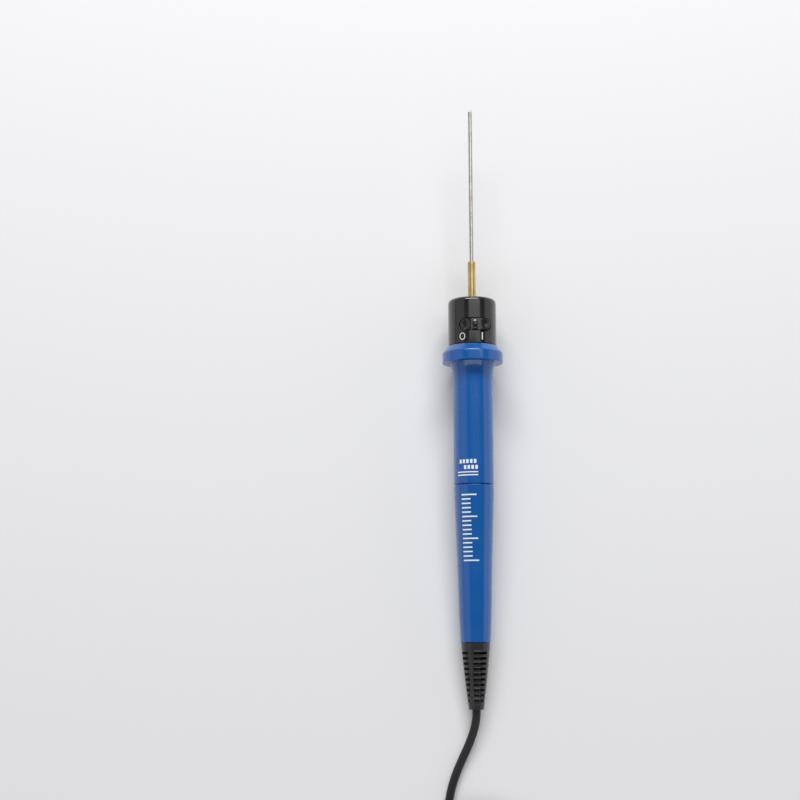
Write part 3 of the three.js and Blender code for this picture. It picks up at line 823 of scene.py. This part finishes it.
def switch_opening():
    """A tool that cuts the rocker's opening, with a little room round the rocker."""
    outline = stadium(ROCKER_HALF_LENGTH + 0.35, ROCKER_HALF_WIDTH + 0.3)
    opening = prism(outline, 3, COLLAR_R + 2)
    turn = Matrix.Translation((0, SWITCH_AT, 0)) @ Matrix.Rotation(math.radians(SWITCH_TURN), 4, "Y")
    bmesh.ops.transform(opening, matrix=turn, verts=opening.verts)
    return opening


def on_the_rim(middle):
    """Whether an edge of the collar, by its middle, is on the rim of the rocker's opening."""
    outside = math.hypot(middle.x, middle.z) > COLLAR_R - 0.1
    return middle.z > 0 and abs(middle.y - SWITCH_AT) < 3.2 and outside


def add_collar():
    """A hollow cap with a spigot at its back and a low boss round the sleeve."""
    outline = filleted([
        (SPIGOT_BORE_R, FLANGE_BACK, 0.2), (SPIGOT_R, FLANGE_BACK, 0.2),
        (SPIGOT_R, COLLAR_BACK, 0), (COLLAR_R, COLLAR_BACK, 0.2),
        *stretch(COLLAR_R, COLLAR_BACK + 0.5, COLLAR_FRONT - 2), (COLLAR_R, COLLAR_FRONT, COLLAR_EDGE),
        (BOSS_R, COLLAR_FRONT, 0.3), (BOSS_R - 0.4, BOSS_FRONT, 0.25),
        (SLEEVE_HOLE_R, BOSS_FRONT, 0.15), (SLEEVE_HOLE_R, CAVITY_FRONT, 0.1),
        (CAVITY_R, CAVITY_FRONT, 0.5), (CAVITY_R, CAVITY_BACK, 0.3),
        (SPIGOT_BORE_R, CAVITY_BACK, 0.2)], steps=6)
    shell = combined(turned(outline, 192), switch_opening())
    eased(shell, 0.22, 3, where=on_the_rim)
    piece(shell, "collar_shell", PEN, black_gloss, "pen", ["collar"])


# Prints reach down into the skin, so that no gap shows under them.
PRINT_HEIGHT = 0.04
PRINT_ROOT = -0.12


def printed(bm, name, degrees, radius_at):
    """Bends a flat pattern, X across and Y along, onto the pen's skin; its Z is the height above it."""
    for vertex in bm.verts:
        across, station, height = vertex.co
        radius = radius_at(station)
        angle = math.radians(degrees) + across / radius
        vertex.co = ((radius + height) * math.sin(angle), station, (radius + height) * math.cos(angle))
    bmesh.ops.recalc_face_normals(bm, faces=bm.faces)
    piece(bm, name, PEN, white_print, "pen")


def ring_mark(half_width, half_height, line, station, steps=40):
    """The O mark: an upright oval ring."""
    angles = [2 * math.pi * k / steps for k in range(steps)]
    edges = [[((half_width - inset) * math.cos(angle), (half_height - inset) * math.sin(angle) + station,
               PRINT_ROOT) for angle in angles] for inset in (0, line)]
    return thickened(flat_band(*edges), (0, 0, PRINT_HEIGHT - PRINT_ROOT))


def bar_mark(half_width, half_height, station):
    """The I mark: a plain bar with round ends, standing along Y."""
    outline = [(-y, x + station) for x, y in stadium(half_height, half_width, 8)]
    return prism(outline, PRINT_ROOT, PRINT_HEIGHT)


FACET = 0.5


def patch(left, right, height, station):
    """A printed rectangle in short facets, so that it can follow the skin."""
    bm = bmesh.new()
    width = right - left
    facets = math.ceil(width / FACET)
    bmesh.ops.create_grid(bm, x_segments=facets, y_segments=1, size=0.5)
    bmesh.ops.scale(bm, verts=bm.verts, vec=(width, height, 1))
    bmesh.ops.translate(bm, verts=bm.verts, vec=(left + width / 2, station, PRINT_ROOT))
    return thickened(bm, (0, 0, PRINT_HEIGHT - PRINT_ROOT))


OFF_TURN = -26.6
ON_TURN = 21.7


def add_marks():
    """The O and I of the switch, each at its own turn round the collar."""
    ring = ring_mark(half_width=1.32, half_height=1.6, line=0.3, station=MARKS_AT)
    printed(ring, "mark_off", OFF_TURN, lambda station: COLLAR_R)
    bar = bar_mark(half_width=0.23, half_height=1.65, station=MARKS_AT)
    printed(bar, "mark_on", ON_TURN, lambda station: COLLAR_R)


add_collar()
add_marks()

# ---- rocker -----------------------------------------------------------------------------------

DIMPLE_AT = 3.95
DIMPLE_R = 2.3
DIMPLE_DEPTH = 0.38
RIB_HALF_LENGTH = 2
RIB_HALF_WIDTH = 1.3
RIB_HEIGHT = 0.45
RIB_SHARE = 0.7
CAP_COVER = 1.2
WEB_BOTTOM = 4.6
WEB_WIDTH = 3.6
PIN_HOLE_R = 0.6
SOCKET_R = 0.95
SOCKET_DEPTH = 0.85


def dimple_ball(side):
    """A ball that cuts one finger dimple, square to the cap's face."""
    radius = (DIMPLE_R ** 2 + DIMPLE_DEPTH ** 2) / (2 * DIMPLE_DEPTH)
    lean = math.asin(DIMPLE_AT / ROCKER_TOP_R)
    reach = ROCKER_TOP_R - DIMPLE_DEPTH + radius
    return ball(radius, (side * reach * math.sin(lean), 0, reach * math.cos(lean) - PIVOT_HEIGHT), 96)


def crowned_rib():
    """A ball drawn out to an oval, of which the top share stands out of the cap."""
    rib = ball(1, (0, 0, 0), 64)
    depth = RIB_HEIGHT / (1 - math.sqrt(1 - RIB_SHARE ** 2))
    size = (RIB_HALF_WIDTH / RIB_SHARE, RIB_HALF_LENGTH / RIB_SHARE, depth)
    bmesh.ops.scale(rib, verts=rib.verts, vec=size)
    bmesh.ops.translate(rib, verts=rib.verts, vec=(0, 0, ROCKER_TOP_R + RIB_HEIGHT - PIVOT_HEIGHT - depth))
    return rib


def rocker_cap():
    """A stadium cut from a ring round the pen's axis, with a dimple at each end and a rib between them."""
    face = turned([(0, -5), (ROCKER_TOP_R, -5), (ROCKER_TOP_R, 5), (0, 5)], 256, closed=False)
    under = turned([(0, -6), (CAVITY_R, -6), (CAVITY_R, 6), (0, 6)], 128, closed=False)
    for tool in (face, under):
        bmesh.ops.translate(tool, verts=tool.verts, vec=(0, 0, -PIVOT_HEIGHT))
    cap = prism(stadium(ROCKER_HALF_LENGTH, ROCKER_HALF_WIDTH, 24), -2.5, 4)
    cap = combined(cap, face, "INTERSECT")
    for side in (-1, 1):
        cap = combined(cap, dimple_ball(side))
    eased(cap, 0.18, 3, sharper_than=12, where=lambda middle: middle.z > 0.3)
    return combined(combined(cap, crowned_rib(), "UNION"), under)


def add_rocker():
    """The cap on its web, with a hole for the pin and a socket below it for the plunger."""
    bottom, top = WEB_BOTTOM - PIVOT_HEIGHT, ROCKER_TOP_R - CAP_COVER - PIVOT_HEIGHT
    web = block((WEB_WIDTH, 2 * ROCKER_HALF_WIDTH - 0.8, top - bottom), (0, 0, (top + bottom) / 2))
    hole = turned([(0, -4), (PIN_HOLE_R, -4), (PIN_HOLE_R, 4), (0, 4)], 32, closed=False)
    socket = turned([(0, 0), (SOCKET_R, 0), (SOCKET_R, 4), (0, 4)], 32, closed=False)
    downwards = Matrix.Translation((0, 0, -SOCKET_DEPTH)) @ Matrix.Rotation(-math.pi / 2, 4, "X")
    bmesh.ops.transform(socket, matrix=downwards, verts=socket.verts)
    body = combined(combined(combined(rocker_cap(), web, "UNION"), hole), socket)
    piece(body, "rocker_cap", ROCKER, black_gloss, "rocker", ["switch_rocker"], sharp=30)


add_rocker()

# ---- barrels ----------------------------------------------------------------------------------

SEAM_STEP = 0.35
BARREL_BORE_R = 7.0
COLLAR_SEAT_R = 8.5
THREAD_R = 6.7
THREAD_BORE_R = 5.5
THREAD_PITCH = 1.5
THREAD_DEPTH = 0.35
THREAD_TURNS = 6
THREAD_LENGTH = 12
TAIL_BORE_R = 4.9
REAR_TAPER = [
    (6.6, 28.9), (6.68, 31), (7.02, 38.5), (7.3, 47.2), (7.5, 55.8),
    (7.74, 64.5), (8.08, 73.3), (8.4, 82), (8.68, 90.8), (SEAM_R, SEAM - GAP / 2),
]


def add_front_barrel():
    """The front half, which swells to the guard flange and holds the collar's spigot."""
    back = SEAM + GAP / 2
    neck = smooth_line([(NECK_R + 0.03, 118), (NECK_R, 138), (NECK_R + 0.02, 143), (NECK_R + 0.2, 146.5),
                        (9.45, 149.2), (10.3, FLANGE_BACK)], 5)
    outline = filleted([
        (BARREL_BORE_R, back, 0.15), (SEAM_R, back, 0.18), *[(r, y, 0) for r, y in neck],
        (FLANGE_R, FLANGE_BACK, 0.3), (FLANGE_R, FLANGE_FRONT - CHAMFER, 1.0),
        (COLLAR_R + 0.3, FLANGE_FRONT, 0.25), (COLLAR_SEAT_R, FLANGE_FRONT, 0.1),
        (COLLAR_SEAT_R, FLANGE_BACK - GAP, 0.1), (BARREL_BORE_R, FLANGE_BACK - GAP, 0.1)], steps=5)
    piece(turned(outline, 128), "front_barrel_shell", PEN, blue_plastic, "pen", ["front_barrel"])


def add_rear_barrel():
    """The tail half, with the threaded spigot that screws into the front half."""
    side = smooth_line(REAR_TAPER, 3)
    front = SEAM - GAP / 2
    root, tip = THREAD_R - THREAD_DEPTH, front + THREAD_LENGTH
    thread = [(root if k % 2 else THREAD_R, front + THREAD_PITCH * (1 + k / 2), 0.1)
              for k in range(2 * THREAD_TURNS + 1)]
    outline = filleted([
        (TAIL_BORE_R, side[0][1], 0.1), (*side[0], 0.2), *[(r, y, 0) for r, y in side[1:-1]],
        (SEAM_R, front - SEAM_STEP, 0.15), (SEAM_R - SEAM_STEP, front - SEAM_STEP, 0),
        (SEAM_R - SEAM_STEP, front, 0.05), (root, front, 0), *thread, (root, tip, 0.2),
        (THREAD_BORE_R, tip, 0.2), (THREAD_BORE_R, 80, 0), (5.3, 31, 0.1), (TAIL_BORE_R, 31, 0.1)], steps=3)
    piece(turned(outline, 128), "rear_barrel_shell", PEN, blue_plastic, "pen", ["rear_barrel"])


add_front_barrel()
add_rear_barrel()


def rear_radius(station):
    """The rear barrel's radius at a station."""
    for (r0, y0), (r1, y1) in zip(REAR_TAPER, REAR_TAPER[1:]):
        if y0 <= station <= y1:
            return r0 + (r1 - r0) * (station - y0) / (y1 - y0)
    return SEAM_R


PRINT_TURN = -50
BLOCK_ROWS = [(107, 0.6, 5), (104.4, 2.9, 4)]
BLOCK_WIDTH = 1.1
BLOCK_HEIGHT = 1.7
BLOCK_PITCH = 1.7
LINES_AT = (102.3, 101)
LINE_LEFT = -0.6
LINE_RIGHT = 9.2
LINE_HEIGHT = 0.5
TICKS = 16
TICK_PITCH = 1.9
TICKS_FROM = 92.4
TICK_LEFT = 1.3
SHORT_TICK_RIGHT = 5.6
LONG_TICK_RIGHT = 8.3
LONG_TICK_EVERY = 5
TICK_HEIGHT = 0.6


def add_prints():
    """Plain marks: two rows of blocks and two lines above the seam, and a graduated scale below it.
    A row of blocks is its station, its left end and its count."""
    blocks = []
    for station, left, count in BLOCK_ROWS:
        for k in range(count):
            start = left + BLOCK_PITCH * k
            blocks.append(patch(start, start + BLOCK_WIDTH, BLOCK_HEIGHT, station))
    lines = [patch(LINE_LEFT, LINE_RIGHT, LINE_HEIGHT, station) for station in LINES_AT]
    printed(merged(*blocks, *lines), "front_print", PRINT_TURN, lambda station: SEAM_R)
    ticks = []
    for k in range(TICKS):
        right = SHORT_TICK_RIGHT if k % LONG_TICK_EVERY else LONG_TICK_RIGHT
        ticks.append(patch(TICK_LEFT, right, TICK_HEIGHT, TICKS_FROM - TICK_PITCH * k))
    printed(merged(*ticks), "rear_print", PRINT_TURN, rear_radius)


add_prints()

# ---- strain relief ----------------------------------------------------------------------------

SLOT_ROWS = 10
SLOT_PITCH = 2.25
SLOT_WIDTH = 1.05
FIRST_SLOT = 3.9
WINDOWS = 4
TAIL_WINDOW = math.radians(74)
FRONT_WINDOW = math.radians(64)
WINDOW_TURN = math.radians(20)
SLOT_FLOOR_R = 2.7
SLOT_REACH = 8
RELIEF_TAPER = [
    (3.3, 0.5), (3.76, 4.2), (4.32, 8.5), (4.8, 12.8), (5.26, 17), (5.7, 21.3), (6.15, 26), (6.3, 28.2),
]
RELIEF_BORE_R = CORD_R + 0.3
RELIEF_NECK_R = 4.6
RELIEF_LOCK_R = 5
RELIEF_LOCK = (31.3, 33.4)


def relief_slot(row, window):
    """A curved slot in one row and one window."""
    angle = TAIL_WINDOW + (FRONT_WINDOW - TAIL_WINDOW) * row / (SLOT_ROWS - 1)
    start = WINDOW_TURN - angle / 2 + window * 2 * math.pi / WINDOWS
    steps = 14
    angles = [start + angle * s / steps for s in range(steps + 1)]
    outline = [(SLOT_REACH * math.sin(a), SLOT_REACH * math.cos(a)) for a in angles]
    outline += [(SLOT_FLOOR_R * math.sin(a), SLOT_FLOOR_R * math.cos(a)) for a in reversed(angles)]
    slot = prism(outline, -SLOT_WIDTH / 2, SLOT_WIDTH / 2)
    station = Matrix.Translation((0, FIRST_SLOT + row * SLOT_PITCH, 0))
    bmesh.ops.transform(slot, matrix=station @ Matrix.Rotation(math.pi / 2, 4, "X"), verts=slot.verts)
    return slot


def in_a_slot(middle):
    """Whether an edge of the relief, by its middle, is on a slot and off its floor."""
    return 2 < middle.y < 26 and math.hypot(middle.x, middle.z) > SLOT_FLOOR_R + 0.2


def add_strain_relief():
    """A tapered sleeve with rows of slots, whose lip locks behind the rear barrel's tail."""
    side = smooth_line(RELIEF_TAPER, 3)
    lip_back, lip_front = RELIEF_LOCK
    outline = filleted([
        (RELIEF_BORE_R, 0, 0.15), (3.3, 0, 0.45), *[(r, y, 0) for r, y in side],
        (6.36, RELIEF_FRONT + 0.25, 0.2), (RELIEF_NECK_R, RELIEF_FRONT + 0.25, 0),
        (RELIEF_NECK_R, lip_back, 0), (RELIEF_LOCK_R, lip_back, 0.1), (RELIEF_LOCK_R, lip_front, 0.3),
        (RELIEF_BORE_R, lip_front, 0.2)], steps=4)
    slots = [relief_slot(row, window) for row in range(SLOT_ROWS) for window in range(WINDOWS)]
    body = combined(turned(outline, 112), merged(*slots))
    eased(body, 0.12, 2, where=in_a_slot)
    piece(body, "relief_sleeve", PEN, black_rubber, "pen", ["strain_relief"], sharp=32)


add_strain_relief()

# ---- floor and lights --------------------------------------------------------------------------

FLOOR_SOLID_TO = 0.5
FLOOR_GONE_AT = 1.15
AMBIENT = 0.1
BACKDROP = 0.68


def add_floor():
    """A pale floor that fades smoothly into the backdrop, well away from the object."""
    bpy.ops.mesh.primitive_plane_add(size=8)
    floor = bpy.context.object
    floor.name = "floor"
    made = bpy.data.materials.new("pale_floor")
    made.use_nodes = True
    tree = made.node_tree
    shader = tree.nodes["Principled BSDF"]
    shader.inputs["Base Color"].default_value = (0.77, 0.77, 0.78, 1)
    shader.inputs["Roughness"].default_value = 0.7
    place = tree.nodes.new("ShaderNodeTexCoord")
    distance = tree.nodes.new("ShaderNodeVectorMath")
    distance.operation = "LENGTH"
    tree.links.new(place.outputs["Object"], distance.inputs[0])
    solid = remap(tree, distance.outputs["Value"], FLOOR_SOLID_TO, FLOOR_GONE_AT, 1, 0, "SMOOTHSTEP")
    tree.links.new(solid, shader.inputs["Alpha"])
    floor.data.materials.append(made)


def add_softbox(name, place, aim, size, power):
    data = bpy.data.lights.new(name, "AREA")
    data.shape = "RECTANGLE"
    data.size, data.size_y = size
    data.energy = power
    lamp = bpy.data.objects.new(name, data)
    bpy.context.scene.collection.objects.link(lamp)
    place, aim = Vector(place), Vector(aim)
    turn = (aim - place).to_track_quat("-Z", "Y").to_matrix().to_4x4()
    lamp.matrix_world = Matrix.Translation(place) @ turn


def add_lights():
    """Low white cards at both sides, a card above the tip, and large soft lights beyond both ends."""
    middle, tip = (0, 0.02, 0), (0.235, 0.44, 0)
    add_softbox("left_card", (-1.15, 0.1, 0.6), aim=middle, size=(1.9, 1.1), power=3.1)
    add_softbox("right_card", (1.15, 0.1, 0.33), aim=middle, size=(1.9, 0.62), power=2.6)
    add_softbox("tip_card", (0.235, 0.44, 1.2), aim=tip, size=(1.21, 0.52), power=3.2)
    add_softbox("key_box", (-0.05, 1.25, 1.0), aim=middle, size=(1.4, 0.34), power=25)
    add_softbox("back_box", (0, -0.95, 1.1), aim=middle, size=(2.6, 0.5), power=7)


def add_backdrop():
    """A faint all-round light, which shows as a pale backdrop beyond the floor."""
    world = bpy.data.worlds.new("studio")
    world.use_nodes = True
    tree = world.node_tree
    background = tree.nodes["Background"]
    background.inputs["Color"].default_value = (0.94, 0.96, 1, 1)
    seen = tree.nodes.new("ShaderNodeLightPath").outputs["Is Camera Ray"]
    strength = math_node(tree, "MULTIPLY_ADD", seen, BACKDROP - AMBIENT, AMBIENT)
    tree.links.new(strength, background.inputs["Strength"])
    bpy.context.scene.world = world


add_floor()
add_lights()
add_backdrop()
bpy.context.scene.view_settings.view_transform = "Standard"
